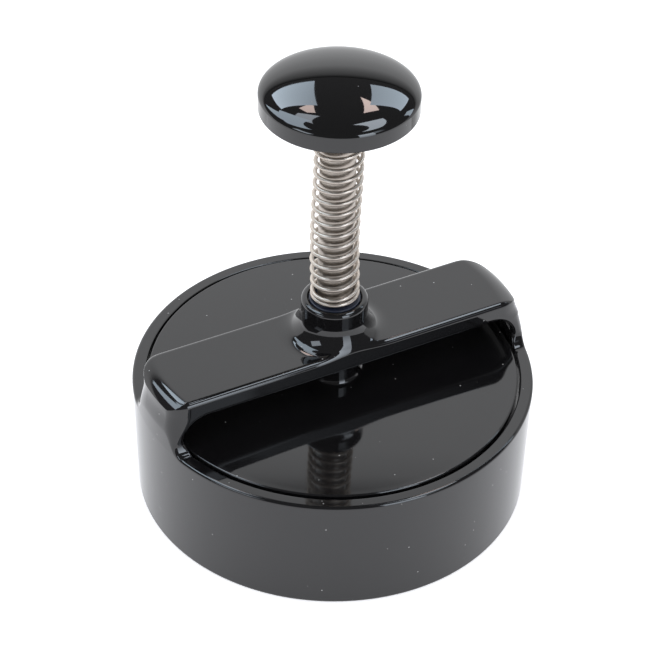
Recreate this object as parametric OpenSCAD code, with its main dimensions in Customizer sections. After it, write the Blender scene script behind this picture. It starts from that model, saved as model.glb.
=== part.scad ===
// Hand-operated patty press: a ring mould with a bridge, and a sprung plunger with a round press plate.
// Millimetres. Origin: centre of the ring's bottom face. +Z runs up the plunger, and the bridge lies along X.

/* [Ring mould] */
// Outer diameter of the ring at its top
ring_d = 120; // [100:1:150]
// Height of the ring
ring_h = 38.3; // [30:0.1:45]
// Wall thickness of the ring at its top
ring_wall = 4; // [3:0.1:6]
// How much smaller the ring's outer radius is at the bottom (casting draft)
ring_draft = 0.9; // [0:0.1:2]
// Rounding of the ring's outer top edge
rim_round = 1; // [0.3:0.1:1.5]

/* [Bridge] */
// Width of the bridge bar
bridge_w = 26; // [22:0.5:32]
// Height of the bridge's top face
bridge_top = 55; // [52:0.5:62]
// Thickness of the bridge bar
bridge_t = 6.5; // [5:0.5:8]
// Rounding of the bridge's long top edges
bridge_round = 2; // [0.5:0.5:3]
// Rounding of the bridge's end edges
bridge_end_round = 4; // [1:0.5:5]
// Rounding of the bridge's front corners, seen from above
front_corner = 4.5; // [3:0.5:8]
// Rounding of the bridge's back corners, seen from above
back_corner = 10.5; // [3:0.5:12]
// Rounding of the upper corners of the finger opening
opening_round = 7; // [3:0.5:7.5]
// Rounding where the end posts run into the rim
post_fillet = 4; // [1:0.5:6]

/* [Collar] */
// Outer diameter of the collar
collar_d = 19.8; // [18:0.2:22]
// Height of the collar's top face
collar_top = 67; // [65:0.5:72]
// Rounding of the collar's upper edge
collar_round = 1.5; // [0.5:0.1:2]
// Radius of the hollow flare from the collar to the bridge
flare_r = 8.6; // [7.4:0.2:10]
// Diameter of the flare's foot on the bridge
flare_d = 27.6; // [26.6:0.2:28.6]

/* [Guide bush] */
// Outer diameter of the bush's sleeve
bush_d = 13.2; // [12.6:0.2:14]
// Diameter of the bush's flange
bush_flange_d = 15.2; // [15:0.1:16]
// Thickness of the bush's flange
bush_flange_t = 1.5; // [1:0.1:2]
// Running clearance between the rod and the bush, on the radius
bush_gap = 0.05; // [0.02:0.01:0.09]

/* [Return spring] */
// Outer diameter of the coil
spring_d = 14.5; // [14.2:0.1:14.8]
// Diameter of the wire
wire_d = 1.27; // [1:0.01:1.4]
// Number of open coils
open_coils = 16; // [12:1:18]
// Number of closed coils at each end
end_coils = 1.5; // [1:0.5:2]

/* [Plunger rod] */
// Diameter of the rod
rod_d = 10.4; // [10:0.1:10.8]
// Height at which the rod's lower end stands in the plate's hub
rod_foot = 39; // [38.6:0.2:40]
// Diameter of the threaded stud at the rod's upper end
stud_d = 8; // [6:1:8]
// Length of the stud
stud_h = 5.4; // [4:0.2:6]

/* [Knob] */
// Diameter of the knob
knob_d = 45.1; // [38:0.1:52]
// Height of the knob's underside
knob_z = 133.4; // [128:0.2:140]
// Height of the knob's straight band
knob_band_h = 5; // [3:0.2:6]
// Height of the knob's dome above the band
knob_dome_h = 4.4; // [4:0.1:7]
// Squareness of the dome's shoulder
knob_shoulder = 2; // [2:0.1:3.5]

/* [Knob insert] */
// Outer diameter of the threaded insert
insert_d = 13; // [12:0.5:14]
// Length of the threaded insert
insert_h = 6; // [5.8:0.1:6.2]

/* [Press plate] */
// Gap between the press plate and the ring, on the radius
plate_gap = 0.6; // [0.4:0.1:1]
// Height of the plate's underside
plate_bottom = 32.7; // [31:0.1:34]
// Height of the plate's top face at its rim
plate_rim_z = 38.7; // [38:0.1:39]
// Rise of the plate's top face towards the hub
plate_crown = 0.8; // [0.4:0.1:1.2]
// Rounding of the plate's edges
plate_round = 1; // [0.4:0.1:1.5]
// Diameter of the hub on the plate
hub_d = 15.6; // [15:0.2:18]
// Rounding at the foot of the hub
hub_fillet = 1.8; // [1:0.1:2]
// Clearance left between the hub and the bridge when the plunger is up
hub_gap = 0.05; // [0.02:0.01:0.2]
// Number of ring grooves in the plate's underside
groove_count = 4; // [0:1:4]
// Width of a ring groove
groove_w = 3; // [2:0.5:4]

/* [Plate screw] */
// Thread diameter of the plate screw
screw_d = 5; // [4:0.5:5]
// Diameter of the screw's head
screw_head_d = 8.4; // [8:0.2:9]
// Height of the screw's head
screw_head_h = 2.5; // [2:0.1:2.5]
// Thickness of the lock washer
washer_t = 0.9; // [0.6:0.1:1]

/* [Hidden] */
$fn = 96;

coat_black = "#1c1c1e";
nylon_navy = "#141c38";
steel = "#b9b4ad";
brass = "#b08d4a";

eps = 0.01;                    // overlap that keeps joined shapes one solid
arc_steps = 8;                 // chords in a quarter round
ring_r = ring_d / 2;
bore_r = ring_r - ring_wall;
bridge_under = bridge_top - bridge_t;
collar_r = collar_d / 2;
flare_angle = acos(1 - (flare_d / 2 - collar_r) / flare_r);   // slope reached at the flare's foot
flare_top = bridge_top + flare_r * sin(flare_angle);
rod_r = rod_d / 2;
bush_bore_r = rod_r + bush_gap;
bush_seat = collar_top - bush_flange_t;
recess_r = bush_flange_d / 2 + 0.2;
plate_r = bore_r - plate_gap;
hub_r = hub_d / 2;
hub_top = bridge_under - hub_gap;
insert_r = insert_d / 2;
stud_r = stud_d / 2;
screw_r = screw_d / 2;
screw_reach = 12;              // thread length inside the rod
head_sink = 0.2;               // how far the screw head stays inside the plate
head_well_r = screw_head_d / 2 + 0.8;
head_well_h = head_sink + screw_head_h + washer_t;
edge = 0.5;                    // small edge chamfer
corner_out = 2.5;              // how far outside the ring the bar's corner arcs are aimed

// Points of an arc about c from angle a to angle b
function arc(c, r, a, b, n = arc_steps) =
    [for (i = [0 : n]) let (t = a + (b - a) * i / n) [c[0] + r * cos(t), c[1] + r * sin(t)]];

// ---- mould body: ring, bridge and collar in one casting ----

module ring_blank() {
    rotate_extrude()
        polygon(concat(
            [[0, 0], [ring_r - ring_draft - edge, 0], [ring_r - ring_draft, edge]],
            arc([ring_r - rim_round, ring_h - rim_round], rim_round, 0, 90),
            [[0, ring_h]]));
}

// Everything inside the ring's outer wall, up to the bridge's top
module wall_envelope() {
    base = ring_h - 2 * rim_round;
    rotate_extrude()
        polygon(concat(
            [[0, base], [ring_r - ring_draft * rim_round * 2 / ring_h, base]],
            arc([ring_r - bridge_end_round, bridge_top - bridge_end_round], bridge_end_round, 0, 90),
            [[0, bridge_top]]));
}

// Outline of the bar seen from above, its sides moved outwards by d; anticlockwise from the front right corner
function bar_outline(d) =
    let (half = bridge_w / 2, reach = ring_r + corner_out,
         yf = half - front_corner, xf = sqrt(pow(reach - front_corner, 2) - yf * yf),
         yb = half - back_corner, xb = sqrt(pow(reach - back_corner, 2) - yb * yb))
    concat(arc([xf, -yf], front_corner + d, -90, 0), arc([xb, yb], back_corner + d, 0, 90),
           arc([-xb, yb], back_corner + d, 90, 180), arc([-xf, -yf], front_corner + d, 180, 270));

// Heights of the bar's outline with its offset there: the fillet at the foot, the side, and the rounded top
function bar_levels() =
    let (r = bridge_round, f = post_fillet, n = arc_steps)
    concat(
        [[ring_h - 1, f]],
        [for (i = [0 : n]) let (t = 90 * i / n) [ring_h + f * (1 - cos(t)), f * (1 - sin(t))]],
        [for (i = [0 : n]) let (t = 90 * i / n) [bridge_top - r * (1 - sin(t)), -r * (1 - cos(t))]]);

module bar_solid() {
    levels = bar_levels();
    outlines = [for (l = levels) [for (p = bar_outline(l[1])) [p[0], p[1], l[0]]]];
    n = len(outlines[0]);
    top = len(levels) - 1;
    sides = [for (i = [0 : top - 1], k = [0 : n - 1])
        let (a = i * n + k, b = i * n + (k + 1) % n) [a, a + n, b + n, b]];
    polyhedron(
        points = [for (o = outlines) each o],
        faces = concat([[for (k = [0 : n - 1]) k]], sides, [[for (k = [n - 1 : -1 : 0]) top * n + k]]));
}

module bridge_blank() {
    intersection() {
        wall_envelope();
        bar_solid();
    }
}

// Collar with its flare, trimmed to the bar's width
module collar_blank() {
    intersection() {
        rotate_extrude()
            polygon(concat(
                [[0, bridge_under + 1], [flare_d / 2, bridge_under + 1]],
                arc([collar_r + flare_r, flare_top], flare_r, 180 + flare_angle, 180),
                arc([collar_r - collar_round, collar_top - collar_round], collar_round, 0, 90),
                [[0, collar_top]]));
        translate([-ring_r, -bridge_w / 2 + bridge_round / 4, bridge_under])
            cube([ring_d, bridge_w - bridge_round / 2, collar_top]);
    }
}

// Space for the meat and the plate, and the finger opening under the bridge
module cavity() {
    r = opening_round;
    intersection() {
        translate([0, 0, -1]) cylinder(r = bore_r, h = bridge_under + 1);
        rotate([90, 0, 0]) linear_extrude(ring_d, center = true)
            polygon(concat(
                arc([bore_r + eps - r, bridge_under - r], r, 0, 90),
                arc([-bore_r - eps + r, bridge_under - r], r, 90, 180),
                [[-bore_r - eps, -2], [bore_r + eps, -2]]));
    }
}

module mould_body() {
    color(coat_black) difference() {
        union() {
            ring_blank();
            bridge_blank();
            collar_blank();
        }
        cavity();
        cylinder(r = bush_d / 2, h = collar_top + 1);
        translate([0, 0, bush_seat]) cylinder(r = recess_r, h = bush_flange_t + 1);
    }
}

// ---- guide bush ----

module guide_bush() {
    color(nylon_navy) rotate_extrude()
        polygon([[bush_bore_r, bridge_under], [bush_d / 2, bridge_under], [bush_d / 2, bush_seat],
                 [bush_flange_d / 2, bush_seat], [bush_flange_d / 2, collar_top - edge / 2],
                 [bush_flange_d / 2 - edge / 2, collar_top], [bush_bore_r + edge / 2, collar_top],
                 [bush_bore_r, collar_top - edge / 2]]);
}

// ---- return spring: a right-hand coil with closed ends ----

coil_r = (spring_d - wire_d) / 2;
coil_low = collar_top + wire_d / 2 + 0.02;
coil_high = knob_z - wire_d / 2 - 0.02;
total_coils = open_coils + 2 * end_coils;
closed_rise = wire_d * 1.02;   // rise of one closed coil
open_rise = (coil_high - coil_low - 2 * end_coils * closed_rise) / open_coils;
wire_sides = 8;
coil_steps = 16;               // sections in one turn
coil_sections = round(total_coils * coil_steps);

function coil_z(turn) =
    turn < end_coils ? coil_low + turn * closed_rise
    : turn < end_coils + open_coils ? coil_low + end_coils * closed_rise + (turn - end_coils) * open_rise
    : coil_high - (total_coils - turn) * closed_rise;

// One eight-sided section of the wire
function wire_section(i) =
    let (turn = i / coil_steps, a = 360 * turn)
    [for (k = [0 : wire_sides - 1])
        let (b = 360 * k / wire_sides, r = coil_r + wire_d / 2 * cos(b))
        [r * cos(a), r * sin(a), coil_z(turn) + wire_d / 2 * sin(b)]];

module return_spring() {
    n = wire_sides;
    sides = [for (i = [0 : coil_sections - 1], k = [0 : n - 1])
        let (a = i * n + k, b = i * n + (k + 1) % n) [a, b, b + n, a + n]];
    start_cap = [[for (k = [n - 1 : -1 : 0]) k]];
    end_cap = [[for (k = [0 : n - 1]) coil_sections * n + k]];
    color(steel) polyhedron(
        points = [for (i = [0 : coil_sections]) each wire_section(i)],
        faces = concat(sides, start_cap, end_cap));
}

// ---- plunger ----

module plunger_rod() {
    color(steel) difference() {
        rotate_extrude()
            polygon([[0, rod_foot], [rod_r - edge, rod_foot], [rod_r, rod_foot + edge],
                     [rod_r, knob_z - edge], [rod_r - edge, knob_z], [stud_r, knob_z],
                     [stud_r, knob_z + stud_h - edge], [stud_r - edge, knob_z + stud_h],
                     [0, knob_z + stud_h]]);
        translate([0, 0, rod_foot - 1]) cylinder(r = screw_r, h = screw_reach + 2);
    }
}

// Outer line of the knob from its underside to the top of its dome
function knob_line() =
    let (r = knob_d / 2, z = knob_z + knob_band_h, n = 3 * arc_steps)
    concat(
        arc([r - 1, knob_z + 1], 0.9, -90, 0, 4),
        [for (i = [0 : n]) let (t = 90 * i / n)
            [r * pow(cos(t), 2 / knob_shoulder), z + knob_dome_h * pow(sin(t), 2 / knob_shoulder)]]);

module knob() {
    dish_in = insert_r + 3;
    dish_out = knob_d / 2 - 2.5;
    dish_h = 0.8;
    color(coat_black) difference() {
        rotate_extrude() polygon(concat([[0, knob_z + 0.1]], knob_line()));
        translate([0, 0, knob_z - 1]) cylinder(r = insert_r, h = insert_h + 1.2);
        rotate_extrude()
            polygon([[dish_in, knob_z], [dish_in + 1, knob_z + dish_h], [dish_out - 1, knob_z + dish_h],
                     [dish_out, knob_z], [dish_out, knob_z - 1], [dish_in, knob_z - 1]]);
    }
}

module knob_insert() {
    color(brass) translate([0, 0, knob_z]) difference() {
        cylinder(r = insert_r, h = insert_h);
        translate([0, 0, -1]) cylinder(r = stud_r, h = insert_h + 2);
    }
}

// Slightly crowned top, from the rim's rounding to the hub's fillet
function plate_top_z(r) = plate_rim_z + plate_crown * (1 - pow(r / (plate_r - plate_round), 2));

function plate_line() =
    let (foot_r = hub_r + hub_fillet, crown_n = 6, out_r = plate_r - plate_round)
    concat(
        [[0, plate_bottom], [plate_r - edge, plate_bottom], [plate_r, plate_bottom + edge]],
        arc([out_r, plate_rim_z - plate_round], plate_round, 0, 90),
        [for (i = [1 : crown_n - 1]) let (r = out_r + (foot_r - out_r) * i / crown_n) [r, plate_top_z(r)]],
        arc([foot_r, plate_top_z(foot_r) + hub_fillet], hub_fillet, 270, 180),
        [[hub_r, hub_top - edge], [hub_r - edge, hub_top], [0, hub_top]]);

module ring_groove(r) {
    depth = groove_w / 3;
    rotate_extrude()
        polygon([[r - groove_w / 2, plate_bottom - 1], [r - groove_w / 2, plate_bottom],
                 [r - groove_w / 4, plate_bottom + depth], [r + groove_w / 4, plate_bottom + depth],
                 [r + groove_w / 2, plate_bottom], [r + groove_w / 2, plate_bottom - 1]]);
}

module press_plate() {
    groove_pitch = (plate_r - head_well_r) / (groove_count + 1);
    color(coat_black) difference() {
        rotate_extrude() polygon(plate_line());
        translate([0, 0, rod_foot]) cylinder(r = rod_r + bush_gap, h = hub_top);
        cylinder(r = screw_r + 0.3, h = hub_top);
        translate([0, 0, plate_bottom - 1]) cylinder(r = head_well_r, h = head_well_h + 1);
        for (i = [1 : 1 : groove_count]) ring_groove(head_well_r + i * groove_pitch);
    }
}

module plate_screw() {
    head_low = plate_bottom + head_sink;
    key_across = 3;
    color(steel) difference() {
        union() {
            translate([0, 0, head_low]) rotate_extrude()
                polygon(concat([[0, 0]], arc([screw_head_d / 2 - 0.8, 0.8], 0.8, -90, 0, 4),
                               [[screw_head_d / 2, screw_head_h], [0, screw_head_h]]));
            translate([0, 0, head_low + screw_head_h - 1])
                cylinder(r = screw_r, h = rod_foot + screw_reach - head_low - screw_head_h + 1);
        }
        translate([0, 0, head_low - 1]) cylinder(d = key_across / cos(30), h = 2.6, $fn = 6);
    }
}

module lock_washer() {
    color(steel) translate([0, 0, plate_bottom + head_sink + screw_head_h]) difference() {
        cylinder(r = screw_head_d / 2, h = washer_t);
        translate([0, 0, -1]) cylinder(r = screw_r + 0.2, h = washer_t + 2);
        translate([0, -0.3, -1]) cube([screw_head_d, 0.6, washer_t + 2]);
    }
}

mould_body();
guide_bush();
return_spring();
plunger_rod();
knob();
knob_insert();
press_plate();
plate_screw();
lock_washer();
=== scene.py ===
import math

import bpy
import numpy as np
from mathutils import Matrix, Vector


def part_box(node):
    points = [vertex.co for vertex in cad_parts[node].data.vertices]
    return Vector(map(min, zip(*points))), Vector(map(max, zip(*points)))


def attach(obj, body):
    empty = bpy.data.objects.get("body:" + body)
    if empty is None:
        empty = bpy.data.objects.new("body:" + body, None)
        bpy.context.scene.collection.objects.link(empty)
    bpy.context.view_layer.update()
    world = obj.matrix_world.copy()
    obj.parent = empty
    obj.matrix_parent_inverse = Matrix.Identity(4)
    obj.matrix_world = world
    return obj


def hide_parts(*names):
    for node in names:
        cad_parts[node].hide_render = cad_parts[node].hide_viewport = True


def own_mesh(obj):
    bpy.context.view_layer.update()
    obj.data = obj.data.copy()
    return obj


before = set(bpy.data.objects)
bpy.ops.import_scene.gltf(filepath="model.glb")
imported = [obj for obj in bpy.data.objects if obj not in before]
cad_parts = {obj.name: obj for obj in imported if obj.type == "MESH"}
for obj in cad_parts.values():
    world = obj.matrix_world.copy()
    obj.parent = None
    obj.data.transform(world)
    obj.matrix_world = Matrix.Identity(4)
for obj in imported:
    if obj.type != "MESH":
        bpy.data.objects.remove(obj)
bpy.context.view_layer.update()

# Lengths are millimetres here, and become metres when a mesh is made.
MM = 0.001


# ---- sizes that come from the frame ----

def box_mm(node):
    """Lowest and highest corner of a CAD node, in millimetres."""
    low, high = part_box(node)
    return [c / MM for c in low], [c / MM for c in high]


_, mould_high = box_mm("mould_body")
bush_low, bush_high = box_mm("guide_bush")
spring_low, spring_high = box_mm("return_spring")
rod_low, rod_high = box_mm("plunger_rod")
_, knob_high = box_mm("knob")
insert_low, insert_high = box_mm("knob_insert")
plate_low, plate_high = box_mm("press_plate")
screw_low, screw_high = box_mm("plate_screw")
washer_low, washer_high = box_mm("lock_washer")

RING_R = mould_high[0]
COLLAR_TOP = mould_high[2]
BRIDGE_UNDER = bush_low[2]
PLATE_R = plate_high[1]
KNOB_R = knob_high[1]
KNOB_UNDER = insert_low[2]


# ---- mesh helpers ----

def smooth_mesh(name, points, faces, normals=None):
    """Mesh object from points in millimetres, smooth, with its own shading normals if they are given."""
    mesh = bpy.data.meshes.new(name)
    mesh.from_pydata((np.asarray(points) * MM).tolist(), [], [list(f) for f in faces])
    mesh.polygons.foreach_set("use_smooth", [True] * len(mesh.polygons))
    mesh.update()
    if normals is not None:
        mesh.normals_split_custom_set_from_vertices(np.asarray(normals).tolist())
    piece = bpy.data.objects.new(name, mesh)
    bpy.context.scene.collection.objects.link(piece)
    return piece


def unit(v):
    """Rows of v at length 1."""
    v = np.asarray(v, float)
    return v / np.maximum(np.linalg.norm(v, axis=-1, keepdims=True), 1e-12)


def rounded(corners, steps=7):
    """Line through corners (radius, height, rounding), with an arc at each rounded corner."""
    line = []
    for i, (r, z, rounding) in enumerate(corners):
        if not rounding:
            line.append((r, z))
            continue
        here = np.array((r, z))
        back = unit(np.array(corners[i - 1][:2]) - here)
        ahead = unit(np.array(corners[(i + 1) % len(corners)][:2]) - here)
        half = math.acos(float(np.clip(back @ ahead, -1, 1))) / 2
        centre = here + unit(back + ahead) * rounding / math.sin(half)
        start = here + back * rounding / math.tan(half) - centre
        stop = here + ahead * rounding / math.tan(half) - centre
        turn = math.atan2(start[0] * stop[1] - start[1] * stop[0], float(start @ stop))
        first = math.atan2(start[1], start[0])
        for k in range(steps + 1):
            a = first + turn * k / steps
            line.append((centre[0] + rounding * math.cos(a), centre[1] + rounding * math.sin(a)))
    return line


def line_normals(line, closed):
    """Outward normal at each point of a line that runs anticlockwise round the solid."""
    p = np.array(line, float)
    step = np.roll(p, -1, axis=0) - p
    out = np.stack([step[:, 1], -step[:, 0]], axis=1)
    if not closed:
        out[-1] = 0
    normals = out + np.roll(out, 1, axis=0)
    if not closed:
        normals[0] = out[0]
    return unit(normals)


def turned(name, line, closed=False, segments=192):
    """Solid turned about Z. An open line starts and ends on the axis; a closed one goes round a ring."""
    side = line_normals(line, closed)
    angles = np.arange(segments) * 2 * math.pi / segments
    cos, sin = np.cos(angles), np.sin(angles)
    points, normals, rows = [], [], []
    for (r, z), (nr, nz) in zip(line, side):
        if r < 1e-6:
            rows.append([len(points)] * segments)
            points.append((0, 0, z))
            normals.append((0, 0, math.copysign(1, nz)))
            continue
        rows.append(list(range(len(points), len(points) + segments)))
        points += list(zip(r * cos, r * sin, [z] * segments))
        normals += list(zip(nr * cos, nr * sin, [nz] * segments))
    faces = []
    pairs = list(zip(rows, rows[1:])) + ([(rows[-1], rows[0])] if closed else [])
    for low, high in pairs:
        for i in range(segments):
            j = (i + 1) % segments
            quad = [low[i], low[j], high[j], high[i]]
            faces.append(list(dict.fromkeys(quad)))
    return smooth_mesh(name, points, faces, normals)


# ---- distance field of the casting ----

def join(a, b, fillet):
    """Union of two distances, with a fillet between them."""
    hollow = np.hypot(np.maximum(fillet - a, 0), np.maximum(fillet - b, 0))
    return np.maximum(fillet, np.minimum(a, b)) - hollow


def meet(a, b, rounding):
    """Intersection of two distances, with their edge rounded."""
    edge = np.hypot(np.maximum(rounding + a, 0), np.maximum(rounding + b, 0))
    return np.minimum(-rounding, np.maximum(a, b)) + edge


def ease(value, start, stop):
    """0 before start, 1 after stop, and smooth between them."""
    t = np.clip((value - start) / (stop - start), 0, 1)
    return t * t * (3 - 2 * t)


def slope_of(distance, points):
    """Distance and its gradient at points."""
    reach = 0.01
    value = distance(*points.T)
    slope = np.empty_like(points)
    for axis in range(3):
        shift = np.zeros(3)
        shift[axis] = reach
        ahead = distance(*(points + shift).T)
        back = distance(*(points - shift).T)
        slope[:, axis] = (ahead - back) / (2 * reach)
    return value, slope


def settled(distance, points, steps=5, most=0.25):
    """Points moved onto distance = 0, and the surface normal at each."""
    for _ in range(steps):
        value, slope = slope_of(distance, points)
        square = np.maximum((slope ** 2).sum(axis=1), 0.05)
        points = points - slope * np.clip(value / square, -most, most)[:, None]
    return points, unit(slope_of(distance, points)[1])


def polar_net(name, distance, radii, heights, turns):
    """Closed quad mesh of distance(x, y, z) = 0, from samples on a polar grid."""
    angles = np.arange(turns + 1) * 2 * math.pi / turns
    r, z = np.meshgrid(radii, heights, indexing="ij")
    slices = [distance(r * math.cos(a), r * math.sin(a), z) for a in angles[:-1]]
    field = np.stack(slices + slices[:1])
    inside = field < 0
    rows, columns = len(radii), len(heights)
    corners = [(i, j, k) for i in (0, 1) for j in (0, 1) for k in (0, 1)]
    count = np.zeros((turns, rows - 1, columns - 1), np.int8)
    for i, j, k in corners:
        count += inside[i:turns + i, j:rows - 1 + j, k:columns - 1 + k]
    mixed = (count > 0) & (count < 8)
    index = np.full(mixed.shape, -1)
    index[mixed] = np.arange(mixed.sum())
    cell = np.nonzero(mixed)
    total, hits = np.zeros((len(cell[0]), 3)), np.zeros(len(cell[0]))
    for low in corners:
        for high in corners:
            if sum(high) - sum(low) != 1 or any(h < s for h, s in zip(high, low)):
                continue
            ends = []
            for corner in (low, high):
                i, j, k = (c + s for c, s in zip(cell, corner))
                x = radii[j] * np.cos(angles[i])
                y = radii[j] * np.sin(angles[i])
                ends.append((field[i, j, k], np.stack([x, y, heights[k]], axis=1)))
            (fa, pa), (fb, pb) = ends
            cross = (fa < 0) != (fb < 0)
            share = np.where(cross, fa / np.where(cross, fa - fb, 1), 0)
            total += np.where(cross[:, None], pa + (pb - pa) * share[:, None], 0)
            hits += cross
    points, normals = settled(distance, total / hits[:, None])
    changes = (inside[:-1, 1:-1, 1:-1] != inside[1:, 1:-1, 1:-1],
               inside[:-1, :-1, 1:-1] != inside[:-1, 1:, 1:-1],
               inside[:-1, 1:-1, :-1] != inside[:-1, 1:-1, 1:])
    around = (((0, 0, 0), (0, 1, 0), (0, 1, 1), (0, 0, 1)),
              ((-1, 0, 0), (0, 0, 0), (0, 0, 1), (-1, 0, 1)),
              ((-1, 0, 0), (0, 0, 0), (0, 1, 0), (-1, 1, 0)))
    quads = []
    for change, cells in zip(changes, around):
        i, j, k = np.nonzero(change)
        quads.append(np.stack([index[i + a, j + b, k + c] for a, b, c in cells], axis=1))
    quads = np.concatenate(quads)
    p = points[quads]
    facing = np.cross(p[:, 2] - p[:, 0], p[:, 3] - p[:, 1])
    wrong = (facing * normals[quads].sum(axis=1)).sum(axis=1) < 0
    quads[wrong] = quads[wrong][:, ::-1]
    return smooth_mesh(name, points, quads.tolist(), normals)


# ---- mould: ring, bridge and collar in one casting ----

RING_H = 38.3
BORE_R = RING_R - 4
DRAFT = 0.9           # how much narrower the ring is at its foot
BRIDGE_HALF = 13
BRIDGE_TOP = 55
COLLAR_R = 9.9
FLARE_R = 8.6
FLARE_Z = 62.1
FLARE_BOW = 1.85      # 2 makes a round hollow, 1 a straight cone
FLARE_C = COLLAR_R + FLARE_R
BUSH_SEAT = COLLAR_TOP - 1.5
RECESS_R = bush_high[0] + 0.2
SLEEVE_R = 6.6
OPENING_ROUND = 7
CORNER_OUT = 2.5      # how far outside the ring the bar's corner arcs are aimed
FRONT_CORNER = 4.5    # the bar's corners, seen from above
BACK_CORNER = 10.5
EDGE_ROUND = 1.7      # along the bar's top edges
END_ROUND = 5.0       # over the bar's ends, beyond what the rim has
END_LEAN = 0.3        # slope by which the bar's right end leans in
END_LEAN_Z = 48       # where that lean starts
END_STEP = 0.5        # small step in below it
FLARE_FOOT = 1.4      # fillet between the flare and the bar
COLLAR_EDGE = 1.35
BAR_FOOT = 4          # fillet between the bar and the ring
RIM_ROUND = 0.9
FOOT_ROUND = 0.8
CAVITY_EDGE = 0.5
ARCH_EDGE = 1.75      # the cavity's edge where it leaves the ring and becomes the arch


def collar_distance(r, z):
    """Collar that flares hollow to a crisp foot on the bridge."""
    across = np.maximum(FLARE_C - r, 0) ** FLARE_BOW
    down = np.maximum(FLARE_Z - z, 0) ** FLARE_BOW
    hollow = FLARE_R - (across + down) ** (1 / FLARE_BOW)
    wall = np.where(z > FLARE_Z, r - COLLAR_R, hollow)
    return meet(wall, z - COLLAR_TOP, COLLAR_EDGE)


def mould_distance(x, y, z):
    """Distance to the casting, in millimetres; negative inside."""
    r = np.hypot(x, y)
    top = join(z - BRIDGE_TOP, collar_distance(r, z), FLARE_FOOT)
    outer = r - RING_R + DRAFT * (1 - np.clip(z / RING_H, 0, 1))
    lean = END_LEAN * np.maximum(z - END_LEAN_Z, 0) + END_STEP * ease(z, 40, END_LEAN_Z)
    outer = outer + lean * ease(x, 0, 30)
    corner = FRONT_CORNER + (BACK_CORNER - FRONT_CORNER) * ease(y, -4, 4)
    outline = meet(np.abs(y) - BRIDGE_HALF, outer - CORNER_OUT, corner)
    bar = meet(top, outline, EDGE_ROUND)
    blank = join(z - RING_H, bar, BAR_FOOT)
    body = meet(blank, outer, RIM_ROUND + END_ROUND * ease(z, 40, 51))
    body = meet(body, -z, FOOT_ROUND)
    cavity = meet(r - BORE_R, z - BRIDGE_UNDER, OPENING_ROUND)
    body = meet(body, -cavity, CAVITY_EDGE + (ARCH_EDGE - CAVITY_EDGE) * ease(z, 38.5, 42))
    body = np.maximum(body, SLEEVE_R - r)
    recess = np.maximum(r - RECESS_R, BUSH_SEAT - z)
    return meet(body, -recess, 0.6)


def levels(*spans):
    """Grid levels from (start, step) spans; the last one is (end, 0)."""
    values = []
    for (start, step), (stop, _) in zip(spans, spans[1:]):
        values += list(np.linspace(start, stop, max(1, round((stop - start) / step)), endpoint=False))
    return np.array(values + [spans[-1][0]])


def make_mould():
    radii = levels((5.9, 0.3), (7.4, 0.2), (10.5, 0.3), (15.5, 0.9), (48, 0.6), (54.8, 0.22), (60.6, 0))
    heights = levels((-0.5, 0.22), (1.3, 2.2), (36.6, 0.2), (39.6, 0.35), (43, 0.55), (46.6, 0.3),
                     (50.2, 0.5), (52, 0.28), (57.5, 0.5), (63.5, 0.4), (65, 0.18), (67.6, 0))
    slices = 720
    piece = polar_net("mould_casting", mould_distance, radii, heights, slices)
    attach(piece, "mould")
    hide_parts("mould_body")
    return piece


def make_bush():
    """Nylon bush: its flange shows round the rod, inside the collar."""
    bore = rod_high[0] + 0.05
    flange = bush_high[0]
    line = rounded([
        (bore, bush_low[2], 0.3), (SLEEVE_R, bush_low[2], 0.3), (SLEEVE_R, BUSH_SEAT, 0),
        (flange, BUSH_SEAT, 0.1), (flange, bush_high[2], 0.35), (bore, bush_high[2], 0.35)], 5)
    piece = turned("bush_sleeve", line, closed=True, segments=160)
    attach(piece, "mould")
    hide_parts("guide_bush")
    return piece


# ---- return spring ----

WIRE_D = 1.27
WIRE_SIDES = 16
COIL_STEPS = 48
OPEN_COILS = 16
END_COILS = 1.5
CLOSED_PITCH = WIRE_D * 1.02
LOW_LEAN = -0.42      # sideways lean of the lower coils, as the camera sees them
LOW_LEAN_END = 0.62   # share of the height where it ends
HIGH_LEAN = 0.3
HIGH_LEAN_START = 0.5


def coil_rise(turn):
    """Lowest and highest middle of the wire, and its rise per turn at a number of turns from the foot."""
    low = spring_low[2] + WIRE_D / 2
    high = spring_high[2] - WIRE_D / 2
    rise = (high - low - 2 * END_COILS * CLOSED_PITCH) / OPEN_COILS
    last = OPEN_COILS + END_COILS
    pitch = CLOSED_PITCH + (rise - CLOSED_PITCH) * ease(turn, END_COILS - 0.25, END_COILS + 0.25)
    pitch = pitch - (rise - CLOSED_PITCH) * ease(turn, last - 0.25, last + 0.25)
    return low, high, pitch


def coil_line():
    """Middle of the wire: a right-hand coil that leans a little off its axis between its ends."""
    total = OPEN_COILS + 2 * END_COILS
    turn = np.linspace(0, total, int(total * COIL_STEPS) + 1)
    low, high, pitch = coil_rise(turn)
    z = np.concatenate([[0], np.cumsum((pitch[1:] + pitch[:-1]) / 2 * np.diff(turn))])
    z = low + z * (high - low) / z[-1]
    along = (z - low) / (high - low)
    low_part = np.clip(along / LOW_LEAN_END, 0, 1)
    high_part = np.clip((along - HIGH_LEAN_START) / (1 - HIGH_LEAN_START), 0, 1)
    lean = LOW_LEAN * np.sin(np.pi * low_part) ** 2
    lean = lean + HIGH_LEAN * np.sin(np.pi * high_part) ** 2
    radius = spring_high[0] - WIRE_D / 2
    angle = 2 * np.pi * turn
    side = np.array((math.cos(CAMERA_TURN), math.sin(CAMERA_TURN)))
    x = radius * np.cos(angle) + lean * side[0]
    y = radius * np.sin(angle) + lean * side[1]
    return np.stack([x, y, z], axis=1), angle


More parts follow.
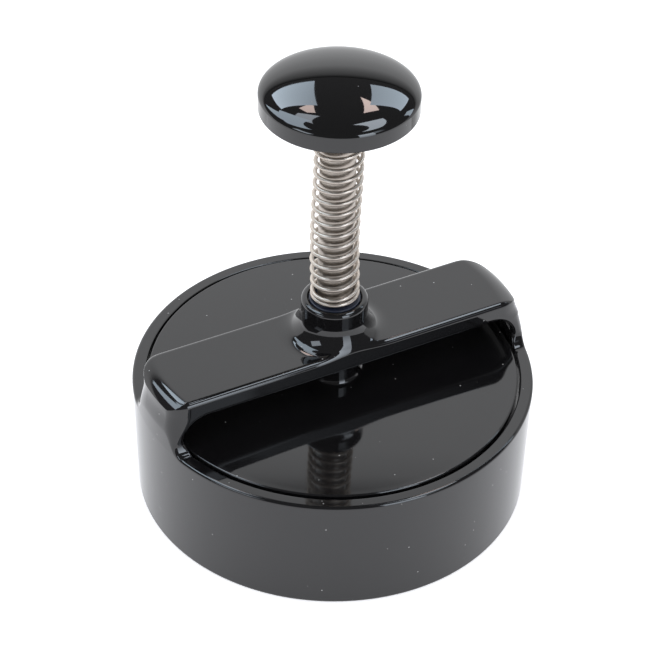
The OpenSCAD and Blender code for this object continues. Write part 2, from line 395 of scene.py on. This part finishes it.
def make_spring():
    middle, angle = coil_line()
    tangent = unit(np.gradient(middle, axis=0))
    outward = np.stack([np.cos(angle), np.sin(angle), np.zeros_like(angle)], axis=1)
    outward = unit(outward - tangent * (outward * tangent).sum(axis=1, keepdims=True))
    upward = np.cross(outward, tangent)
    upward = upward * np.sign(upward[:, 2:3])
    round_wire = np.arange(WIRE_SIDES) * 2 * math.pi / WIRE_SIDES
    normals = (outward[:, None] * np.cos(round_wire)[None, :, None]
               + upward[:, None] * np.sin(round_wire)[None, :, None])
    count = len(middle)
    size = np.full(count, WIRE_D / 2)
    size[[0, -1]] *= 0.8
    points = middle[:, None] + normals * size[:, None, None]
    points[..., 2] = np.clip(points[..., 2], spring_low[2], spring_high[2])
    faces = []
    for i in range(count - 1):
        for k in range(WIRE_SIDES):
            a, b = i * WIRE_SIDES + k, i * WIRE_SIDES + (k + 1) % WIRE_SIDES
            faces.append([a, a + WIRE_SIDES, b + WIRE_SIDES, b])
    faces.append(list(range(WIRE_SIDES)))
    faces.append([(count - 1) * WIRE_SIDES + k for k in range(WIRE_SIDES)][::-1])
    piece = smooth_mesh("spring_coil", points.reshape(-1, 3), faces)
    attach(piece, "coil")
    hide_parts("return_spring")
    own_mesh(piece)
    return piece


# ---- plunger ----

def make_rod():
    r, stud, bore, edge = rod_high[0], 4, 2.5, 0.4
    foot, shoulder, tip = rod_low[2], KNOB_UNDER, rod_high[2]
    line = rounded([
        (0, foot + 13, 0), (bore, foot + 13, 0), (bore, foot, 0.3), (r, foot, edge), (r, shoulder, edge),
        (stud, shoulder, 0.2), (stud, tip, 0.6), (0, tip, 0)], 5)
    piece = turned("rod_shaft", line, segments=160)
    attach(piece, "plunger")
    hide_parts("plunger_rod")
    return piece


def make_knob():
    """Mushroom knob: shallow dish and a short skirt underneath, a band, and a low crowned top."""
    skirt = KNOB_UNDER - 0.45
    band = skirt + 4.6
    dome = knob_high[2] - band
    well, well_top, dish = insert_high[0], insert_high[2] + 0.2, KNOB_UNDER + 0.8
    corners = [
        (0, well_top, 0), (well, well_top, 0), (well, KNOB_UNDER, 0.15), (9.5, KNOB_UNDER, 0.3),
        (10.5, dish, 0.3), (KNOB_R - 3.5, dish, 0.3), (KNOB_R - 2.5, skirt, 0.3),
        (KNOB_R, skirt, 0.5), (KNOB_R, band, 0)]
    line = rounded(corners, 6)
    steps = 56
    for i in range(1, steps + 1):
        t = math.pi / 2 * (i / steps) ** 1.25
        line.append((KNOB_R * math.cos(t) if i < steps else 0, band + dome * math.sin(t)))
    piece = turned("knob_cap", line, segments=256)
    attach(piece, "plunger")
    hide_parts("knob")
    return piece


def make_insert():
    """Brass insert with two grooves that lock it in the knob."""
    r, bore, low, high = insert_high[0], 4, insert_low[2], insert_high[2]
    third = (high - low) / 3
    line = rounded([
        (bore, low, 0.3), (r, low, 0.2), (r, low + third - 0.4, 0), (r - 0.5, low + third, 0),
        (r, low + third + 0.4, 0), (r, high - third - 0.4, 0), (r - 0.5, high - third, 0),
        (r, high - third + 0.4, 0), (r, high, 0.3), (bore, high, 0.3)], 4)
    piece = turned("insert_ring", line, closed=True, segments=120)
    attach(piece, "plunger")
    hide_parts("knob_insert")
    return piece


def make_plate():
    """Press plate: crowned top, hub with a hollow foot, and ring grooves underneath."""
    low, hub_top = plate_low[2], plate_high[2]
    rim, crown, rounding = 38.7, 0.8, 0.5
    hub_r, foot_r, well_r, socket_r, hole_r = 7.8, 1.8, 5, 5.25, 2.8
    well_top, rod_foot = washer_high[2], rod_low[2]
    out_r = PLATE_R - 0.7
    corners = [(hole_r, well_top, 0), (well_r, well_top, 0.15), (well_r, low, 0.25)]
    grooves, half, depth = 4, 1.5, 1.0
    pitch = (PLATE_R - well_r) / (grooves + 1)
    for i in range(1, grooves + 1):
        r = well_r + i * pitch
        corners += [(r - half, low, 0.25), (r - half / 2, low + depth, 0.25),
                    (r + half / 2, low + depth, 0.25), (r + half, low, 0.25)]
    corners += [(PLATE_R, low, 0.6), (PLATE_R - 0.15, rim, rounding)]
    line = rounded(corners + [(out_r - 6, rim + 0.2, 0)], 6)[:-1]
    hub_foot = hub_r + foot_r
    for r in np.linspace(out_r, hub_foot, 28):
        line.append((r, rim + crown * (1 - (r / out_r) ** 2)))
    foot_z = line[-1][1]
    for i in range(1, 9):
        t = math.radians(270 - 90 * i / 8)
        line.append((hub_foot + foot_r * math.cos(t), foot_z + foot_r + foot_r * math.sin(t)))
    line += rounded([(hub_r, foot_z + foot_r + 0.1, 0), (hub_r, hub_top, 0.5), (socket_r, hub_top, 0.2),
                     (socket_r, rod_foot, 0), (hole_r, rod_foot, 0)], 6)
    piece = turned("plate_disc", line, closed=True, segments=256)
    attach(piece, "plunger")
    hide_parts("press_plate")
    return piece


def make_screw():
    """Button-head screw with a hexagon socket."""
    head_r, shank_r, low, head_h, tip = screw_high[0], 2.5, screw_low[2], 2.5, screw_high[2]
    socket, floor, across = 1.7, low + 1.6, 3.0
    line = rounded([
        (0, floor + 0.3, 0), (socket, floor, 0), (socket, low, 0.1), (head_r, low, 0.9),
        (head_r, low + head_h, 0.15), (shank_r, low + head_h, 0), (shank_r, tip, 0.5), (0, tip, 0)], 5)
    segments = 120
    piece = turned("screw_button", line, segments=segments)
    for v in piece.data.vertices:
        r = math.hypot(v.co.x, v.co.y) / MM
        if 0.1 < r < socket + 0.2 and v.co.z / MM < floor + 0.2:
            a = math.atan2(v.co.y, v.co.x)
            flat = across / 2 / math.cos((a % (math.pi / 3)) - math.pi / 6)
            grow = flat / socket
            v.co.x, v.co.y = v.co.x * grow, v.co.y * grow
    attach(piece, "plunger")
    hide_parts("plate_screw")
    return piece


def make_washer():
    """Split lock washer: a ring of square wire, open at one side."""
    inner, outer, low, high = 2.7, washer_high[1], washer_low[2], washer_high[2]
    section = rounded([(inner, low, 0.12), (outer, low, 0.12), (outer, high, 0.12), (inner, high, 0.12)], 3)
    gap = 0.3 / outer
    angles = np.linspace(gap, 2 * math.pi - gap, 97)
    points = [(r * math.cos(a), r * math.sin(a), z) for a in angles for r, z in section]
    n = len(section)
    faces = []
    for i in range(len(angles) - 1):
        for k in range(n):
            a, b = i * n + k, i * n + (k + 1) % n
            faces.append([a, a + n, b + n, b])
    faces.append(list(range(n)))
    faces.append([(len(angles) - 1) * n + k for k in range(n)][::-1])
    piece = smooth_mesh("washer_ring", points, faces)
    piece.data.set_sharp_from_angle(angle=math.radians(40))
    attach(piece, "plunger")
    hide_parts("lock_washer")
    return piece


# ---- materials ----

class Shader:
    """A Principled material whose colour, roughness and bump come from nodes."""

    def __init__(self, name):
        self.material = bpy.data.materials.new(name)
        self.material.use_nodes = True
        tree = self.material.node_tree
        self.nodes, self.links = tree.nodes, tree.links
        self.bsdf = self.nodes["Principled BSDF"]
        self.place = self.nodes.new("ShaderNodeTexCoord").outputs["Object"]

    def set(self, **values):
        for name, value in values.items():
            self.bsdf.inputs[name.replace("_", " ")].default_value = value

    def scaled(self, x, y, z):
        node = self.nodes.new("ShaderNodeMapping")
        node.inputs["Scale"].default_value = (x, y, z)
        self.links.new(self.place, node.inputs["Vector"])
        return node.outputs["Vector"]

    def noise(self, scale, detail=3.0, rough=0.5, vector=None):
        node = self.nodes.new("ShaderNodeTexNoise")
        node.inputs["Scale"].default_value = scale
        node.inputs["Detail"].default_value = detail
        node.inputs["Roughness"].default_value = rough
        self.links.new(vector or self.place, node.inputs["Vector"])
        return node.outputs["Fac"]

    def spots(self, scale, size, share):
        """1 in small round spots in a share of the cells, 0 elsewhere."""
        cell = self.nodes.new("ShaderNodeTexVoronoi")
        cell.inputs["Scale"].default_value = scale
        self.links.new(self.place, cell.inputs["Vector"])
        chosen = self.math("LESS_THAN", self.channel(cell.outputs["Color"]), share)
        near = self.ranged(cell.outputs["Distance"], size, size * 0.5, 0, 1)
        return self.math("MULTIPLY", chosen, near)

    def channel(self, colour):
        node = self.nodes.new("ShaderNodeSeparateColor")
        self.links.new(colour, node.inputs["Color"])
        return node.outputs["Red"]

    def math(self, operation, a, b):
        node = self.nodes.new("ShaderNodeMath")
        node.operation = operation
        for value, socket in zip((a, b), node.inputs):
            if isinstance(value, (int, float)):
                socket.default_value = value
            else:
                self.links.new(value, socket)
        return node.outputs["Value"]

    def ranged(self, value, low, high, out_low, out_high):
        node = self.nodes.new("ShaderNodeMapRange")
        for socket, v in zip(node.inputs[1:5], (low, high, out_low, out_high)):
            socket.default_value = v
        self.links.new(value, node.inputs["Value"])
        return node.outputs["Result"]

    def blend(self, factor, first, second):
        """Colour between two colours or colour sockets."""
        node = self.nodes.new("ShaderNodeMix")
        node.data_type = "RGBA"
        self.links.new(factor, node.inputs[0])
        for value, socket in ((first, node.inputs[6]), (second, node.inputs[7])):
            if isinstance(value, tuple):
                socket.default_value = (*value, 1)
            else:
                self.links.new(value, socket)
        return node.outputs[2]

    def colour(self, source):
        self.links.new(source, self.bsdf.inputs["Base Color"])

    def roughness(self, source):
        self.links.new(source, self.bsdf.inputs["Roughness"])

    def bumps(self, *layers):
        """Bump layers (height socket, depth in millimetres), one on another."""
        normal = None
        for height, depth in layers:
            node = self.nodes.new("ShaderNodeBump")
            node.inputs["Strength"].default_value = 1
            node.inputs["Distance"].default_value = depth * MM
            self.links.new(height, node.inputs["Height"])
            if normal:
                self.links.new(normal, node.inputs["Normal"])
            normal = node.outputs["Normal"]
        self.links.new(normal, self.bsdf.inputs["Normal"])


DUST_COLOUR = (0.34, 0.34, 0.33)


def coating_material():
    """Thick glossy black enamel on a casting, with a little dust on it."""
    s = Shader("black_enamel")
    s.set(IOR=1.55)
    dust = s.spots(300, 0.075, 0.3)
    tone = s.blend(s.noise(60, 4), (0.0042, 0.0041, 0.0046), (0.0066, 0.0063, 0.0066))
    s.colour(s.blend(dust, tone, DUST_COLOUR))
    haze = s.ranged(s.noise(45, 5, 0.6), 0.35, 0.7, 0.035, 0.075)
    s.roughness(s.math("ADD", haze, s.math("MULTIPLY", dust, 0.5)))
    s.bumps((s.noise(38, 2), 0.020), (s.noise(210, 2), 0.0025), (dust, 0.01))
    return s.material


def knob_material():
    """Hard moulded black plastic, polished."""
    s = Shader("knob_plastic")
    s.set(IOR=1.58)
    dust = s.spots(420, 0.085, 0.08)
    tone = s.blend(s.noise(80, 3), (0.0026, 0.0026, 0.0028), (0.0044, 0.0042, 0.0042))
    s.colour(s.blend(dust, tone, (0.2, 0.2, 0.2)))
    haze = s.ranged(s.noise(70, 4), 0.35, 0.7, 0.02, 0.045)
    s.roughness(s.math("ADD", haze, s.math("MULTIPLY", dust, 0.4)))
    s.bumps((s.noise(55, 2), 0.006), (dust, 0.006))
    return s.material


def nylon_material():
    """Dark blue moulded nylon, slightly waxy."""
    s = Shader("navy_nylon")
    s.set(IOR=1.53)
    s.colour(s.blend(s.noise(300, 4), (0.003, 0.007, 0.024), (0.006, 0.013, 0.038)))
    s.roughness(s.ranged(s.noise(500, 3), 0.3, 0.7, 0.35, 0.5))
    s.bumps((s.noise(900, 3), 0.01),)
    return s.material


def wire_material():
    """Drawn stainless wire: fine lines along its length and a few duller stretches."""
    s = Shader("drawn_wire")
    s.set(Metallic=1.0)
    lines = s.noise(1, 4, 0.7, s.scaled(500, 500, 9000))
    patches = s.noise(140, 4)
    s.colour(s.blend(patches, (0.45, 0.40, 0.35), (0.58, 0.52, 0.46)))
    drawn = s.ranged(lines, 0.3, 0.7, 0.30, 0.40)
    s.roughness(s.math("ADD", drawn, s.ranged(patches, 0.3, 0.7, 0.0, 0.06)))
    s.bumps((lines, 0.002), (s.noise(700, 2), 0.002))
    return s.material


def rod_material():
    """Turned stainless rod: close rings round it."""
    s = Shader("turned_rod")
    s.set(Metallic=1.0)
    rings = s.noise(1, 5, 0.75, s.scaled(30, 30, 7000))
    s.colour(s.blend(s.noise(120, 3), (0.38, 0.34, 0.30), (0.49, 0.445, 0.40)))
    s.roughness(s.ranged(rings, 0.3, 0.7, 0.28, 0.42))
    s.bumps((rings, 0.004),)
    return s.material


def brass_material():
    """Machined brass, a little dulled."""
    s = Shader("machined_brass")
    s.set(Metallic=1.0)
    rings = s.noise(1, 4, 0.7, s.scaled(60, 60, 5000))
    s.colour(s.blend(s.noise(350, 4), (0.52, 0.36, 0.13), (0.70, 0.52, 0.22)))
    s.roughness(s.ranged(rings, 0.3, 0.7, 0.22, 0.42))
    s.bumps((rings, 0.005),)
    return s.material


def fastener_material():
    """Cold-headed stainless: satin, with small scuffs."""
    s = Shader("satin_fastener")
    s.set(Metallic=1.0)
    scuffs = s.noise(1600, 5, 0.7)
    s.colour(s.blend(s.noise(700, 3), (0.48, 0.47, 0.455), (0.64, 0.63, 0.61)))
    s.roughness(s.ranged(scuffs, 0.3, 0.7, 0.24, 0.46))
    s.bumps((scuffs, 0.004),)
    return s.material


def finish_with(material, *pieces):
    for piece in pieces:
        piece.data.materials.clear()
        piece.data.materials.append(material)


# ---- camera ----

CAMERA_TURN = math.radians(-28.6)     # round the object, from the front
CAMERA_RISE = math.radians(38.9)
CAMERA_ROLL = math.radians(1.351)
CAMERA_RANGE = 709.2
CAMERA_LENS = 130.65
CAMERA_AIM_Z = 56.85
CAMERA_AIM_SIDE = -0.75
PANEL_RANGE = 1000

toward = Vector((math.sin(CAMERA_TURN), -math.cos(CAMERA_TURN), 0))
rightward = Vector((math.cos(CAMERA_TURN), math.sin(CAMERA_TURN), 0))


def set_place(right, near, up):
    """Point in metres: right and near are as the camera sees the object, from its axis, in millimetres."""
    return (rightward * right + toward * near + Vector((0, 0, up))) * MM


def make_camera():
    data = bpy.data.cameras.new("camera")
    data.sensor_width = 36
    data.lens = CAMERA_LENS
    camera = bpy.data.objects.new("camera", data)
    bpy.context.scene.collection.objects.link(camera)
    back = toward * math.cos(CAMERA_RISE) + Vector((0, 0, math.sin(CAMERA_RISE)))
    up = back.cross(rightward)
    turn = Matrix((rightward, up, back)).transposed() @ Matrix.Rotation(CAMERA_ROLL, 3, "Z")
    camera.matrix_world = turn.to_4x4()
    camera.location = set_place(CAMERA_AIM_SIDE, 0, CAMERA_AIM_Z) + back * CAMERA_RANGE * MM
    bpy.context.scene.camera = camera


# ---- studio ----

def make_floor():
    s = Shader("floor_paper")
    s.set(Specular_IOR_Level=0.2, Emission_Color=(0.98, 0.98, 1.0, 1), Emission_Strength=0.55)
    s.colour(s.blend(s.noise(6, 4), (0.86, 0.86, 0.87), (0.90, 0.90, 0.905)))
    s.roughness(s.ranged(s.noise(300, 3), 0.3, 0.7, 0.75, 0.9))
    side = 4.0
    mesh = bpy.data.meshes.new("floor")
    corners = [(-side, -side, 0), (side, -side, 0), (side, side, 0), (-side, side, 0)]
    mesh.from_pydata(corners, [], [(0, 1, 2, 3)])
    floor = bpy.data.objects.new("floor", mesh)
    floor.location.z = -0.02 * MM
    bpy.context.scene.collection.objects.link(floor)
    mesh.materials.append(s.material)


def make_panel(name, about, corners, colour, glow, seen_by_matt=False):
    """Glowing patch of the sky: four (azimuth, elevation) corners as seen from a height on the axis.

    It shows only in reflections. Glow is one strength, or one for each corner."""
    glow = glow if isinstance(glow, tuple) else (glow,) * 4
    cuts = 8
    points, faces, strengths = [], [], []
    for i in range(cuts + 1):
        for j in range(cuts + 1):
            u, v = i / cuts, j / cuts
            shares = ((1 - u) * (1 - v), u * (1 - v), u * v, (1 - u) * v)
            azimuth = math.radians(sum(w * c[0] for w, c in zip(shares, corners)))
            rise = math.radians(sum(w * c[1] for w, c in zip(shares, corners)))
            flat = PANEL_RANGE * math.cos(rise)
            points.append(set_place(flat * math.sin(azimuth), flat * math.cos(azimuth),
                                    about + PANEL_RANGE * math.sin(rise)))
            strengths.append(sum(w * g for w, g in zip(shares, glow)))
    for i in range(cuts):
        for j in range(cuts):
            a = i * (cuts + 1) + j
            faces.append((a, a + 1, a + cuts + 2, a + cuts + 1))
    return glowing(name, points, faces, strengths, colour, seen_by_matt)


def glowing(name, points, faces, strengths, colour, seen_by_matt):
    """Object that gives off light, with a strength at each point; the camera doesn't see it."""
    mesh = bpy.data.meshes.new(name)
    mesh.from_pydata(points, [], faces)
    mesh.attributes.new("glow", "FLOAT", "POINT").data.foreach_set("value", strengths)
    panel = bpy.data.objects.new(name, mesh)
    bpy.context.scene.collection.objects.link(panel)
    material = bpy.data.materials.new(name)
    material.use_nodes = True
    tree = material.node_tree
    tree.nodes.clear()
    out = tree.nodes.new("ShaderNodeOutputMaterial")
    light = tree.nodes.new("ShaderNodeEmission")
    light.inputs["Color"].default_value = (*colour, 1)
    strength = tree.nodes.new("ShaderNodeAttribute")
    strength.attribute_name = "glow"
    tree.links.new(strength.outputs["Fac"], light.inputs["Strength"])
    tree.links.new(light.outputs["Emission"], out.inputs["Surface"])
    mesh.materials.append(material)
    panel.visible_camera = False
    panel.visible_shadow = False
    panel.visible_diffuse = seen_by_matt
    return panel


def make_back_card():
    """Pale card close behind the press, dimmer towards its top edge and on the right."""
    behind = -98
    columns = ((-1500, 1), (80, 1), (140, 0.62), (1500, 0.62))
    rows = ((0, 1.45), (150, 1.45), (168, 1.42), (185.5, 1.18),
            (195, 0.66), (201.5, 0.4), (206, 0.05), (207, 0))
    points = [set_place(side, behind, up) for up, _ in rows for side, _ in columns]
    strengths = [glow * share for _, glow in rows for _, share in columns]
    wide = len(columns)
    faces = [(i, i + 1, i + 1 + wide, i + wide) for i in range(len(points) - wide) if (i + 1) % wide]
    glowing("back_card", points, faces, strengths, (0.97, 0.98, 1.0), True)


def make_world():
    """Pale to the eye, even light on matt surfaces, and nearly dark in reflections."""
    world = bpy.data.worlds.new("studio")
    bpy.context.scene.world = world
    world.use_nodes = True
    tree = world.node_tree
    back = tree.nodes["Background"]
    path = tree.nodes.new("ShaderNodeLightPath")
    gloss = tree.nodes.new("ShaderNodeMix")
    gloss.data_type = "RGBA"
    gloss.inputs[6].default_value = (1.05, 1.07, 1.12, 1)
    gloss.inputs[7].default_value = (0.15, 0.15, 0.155, 1)
    eye = tree.nodes.new("ShaderNodeMix")
    eye.data_type = "RGBA"
    eye.inputs[7].default_value = (1, 1, 1, 1)
    tree.links.new(path.outputs["Is Glossy Ray"], gloss.inputs[0])
    tree.links.new(path.outputs["Is Camera Ray"], eye.inputs[0])
    tree.links.new(gloss.outputs[2], eye.inputs[6])
    tree.links.new(eye.outputs[2], back.inputs["Color"])


def make_studio():
    scene = bpy.context.scene
    scene.view_settings.view_transform = "Standard"
    scene.view_settings.look = "None"
    make_world()
    make_floor()
    make_back_card()
    daylight, sky, warm = (0.74, 0.87, 1.0), (0.82, 0.90, 1.0), (1.0, 0.80, 0.74)
    knob, collar = 140, 56
    make_panel("left_window", knob, [(-147, 34), (-173, 35), (-169, 52), (-135, 48)], daylight,
               (7.8, 4.0, 4.2, 8.6))
    make_panel("right_window", knob, [(145, 33), (171, 36), (165, 50), (133, 45)], daylight,
               (6.2, 3.9, 4.8, 7.0))
    make_panel("left_wall", knob, [(-155, 53), (-168, 50), (-163, 59), (-156, 58)], warm, 7.5)
    make_panel("right_wall", knob, [(172, 45), (167, 47), (155, 53), (163, 58)], warm, 8.5)
    make_panel("left_high", knob, [(-146, 57), (-163, 63), (-127, 72), (-125, 60)], sky, 4.5)
    make_panel("right_high", knob, [(148, 76), (134, 59), (86, 55), (50, 64)], sky, 6.5)
    make_panel("left_side", collar, [(-124, 28), (-98, 42), (-90, 50), (-122, 50)], daylight, 5.5)
    make_panel("left_side_high", collar, [(-130, 50), (-84, 44), (-60, 66), (-140, 70)], daylight, 5.5)
    make_panel("left_near", collar, [(-64, 24), (-40, 18), (-34, 32), (-60, 38)], sky, 4.5)
    make_panel("right_near", collar, [(26, -2), (47, -2), (51, 44), (28, 44)], sky, (2.6, 2.6, 7.0, 7.0))
    make_panel("right_far", collar, [(51, 30), (66, 30), (66, 46), (51, 46)], sky, (3.0, 0.6, 0.6, 3.0))
    make_panel("right_side", collar, [(104, 12), (120, 12), (122, 40), (112, 40)], daylight, 5.0)


# ---- build ----

make_camera()
make_studio()
mould = make_mould()
bush = make_bush()
spring = make_spring()
rod = make_rod()
knob = make_knob()
insert = make_insert()
plate = make_plate()
screw = make_screw()
washer = make_washer()
finish_with(coating_material(), mould, plate)
finish_with(knob_material(), knob)
finish_with(nylon_material(), bush)
finish_with(wire_material(), spring)
finish_with(rod_material(), rod)
finish_with(brass_material(), insert)
finish_with(fastener_material(), screw, washer)
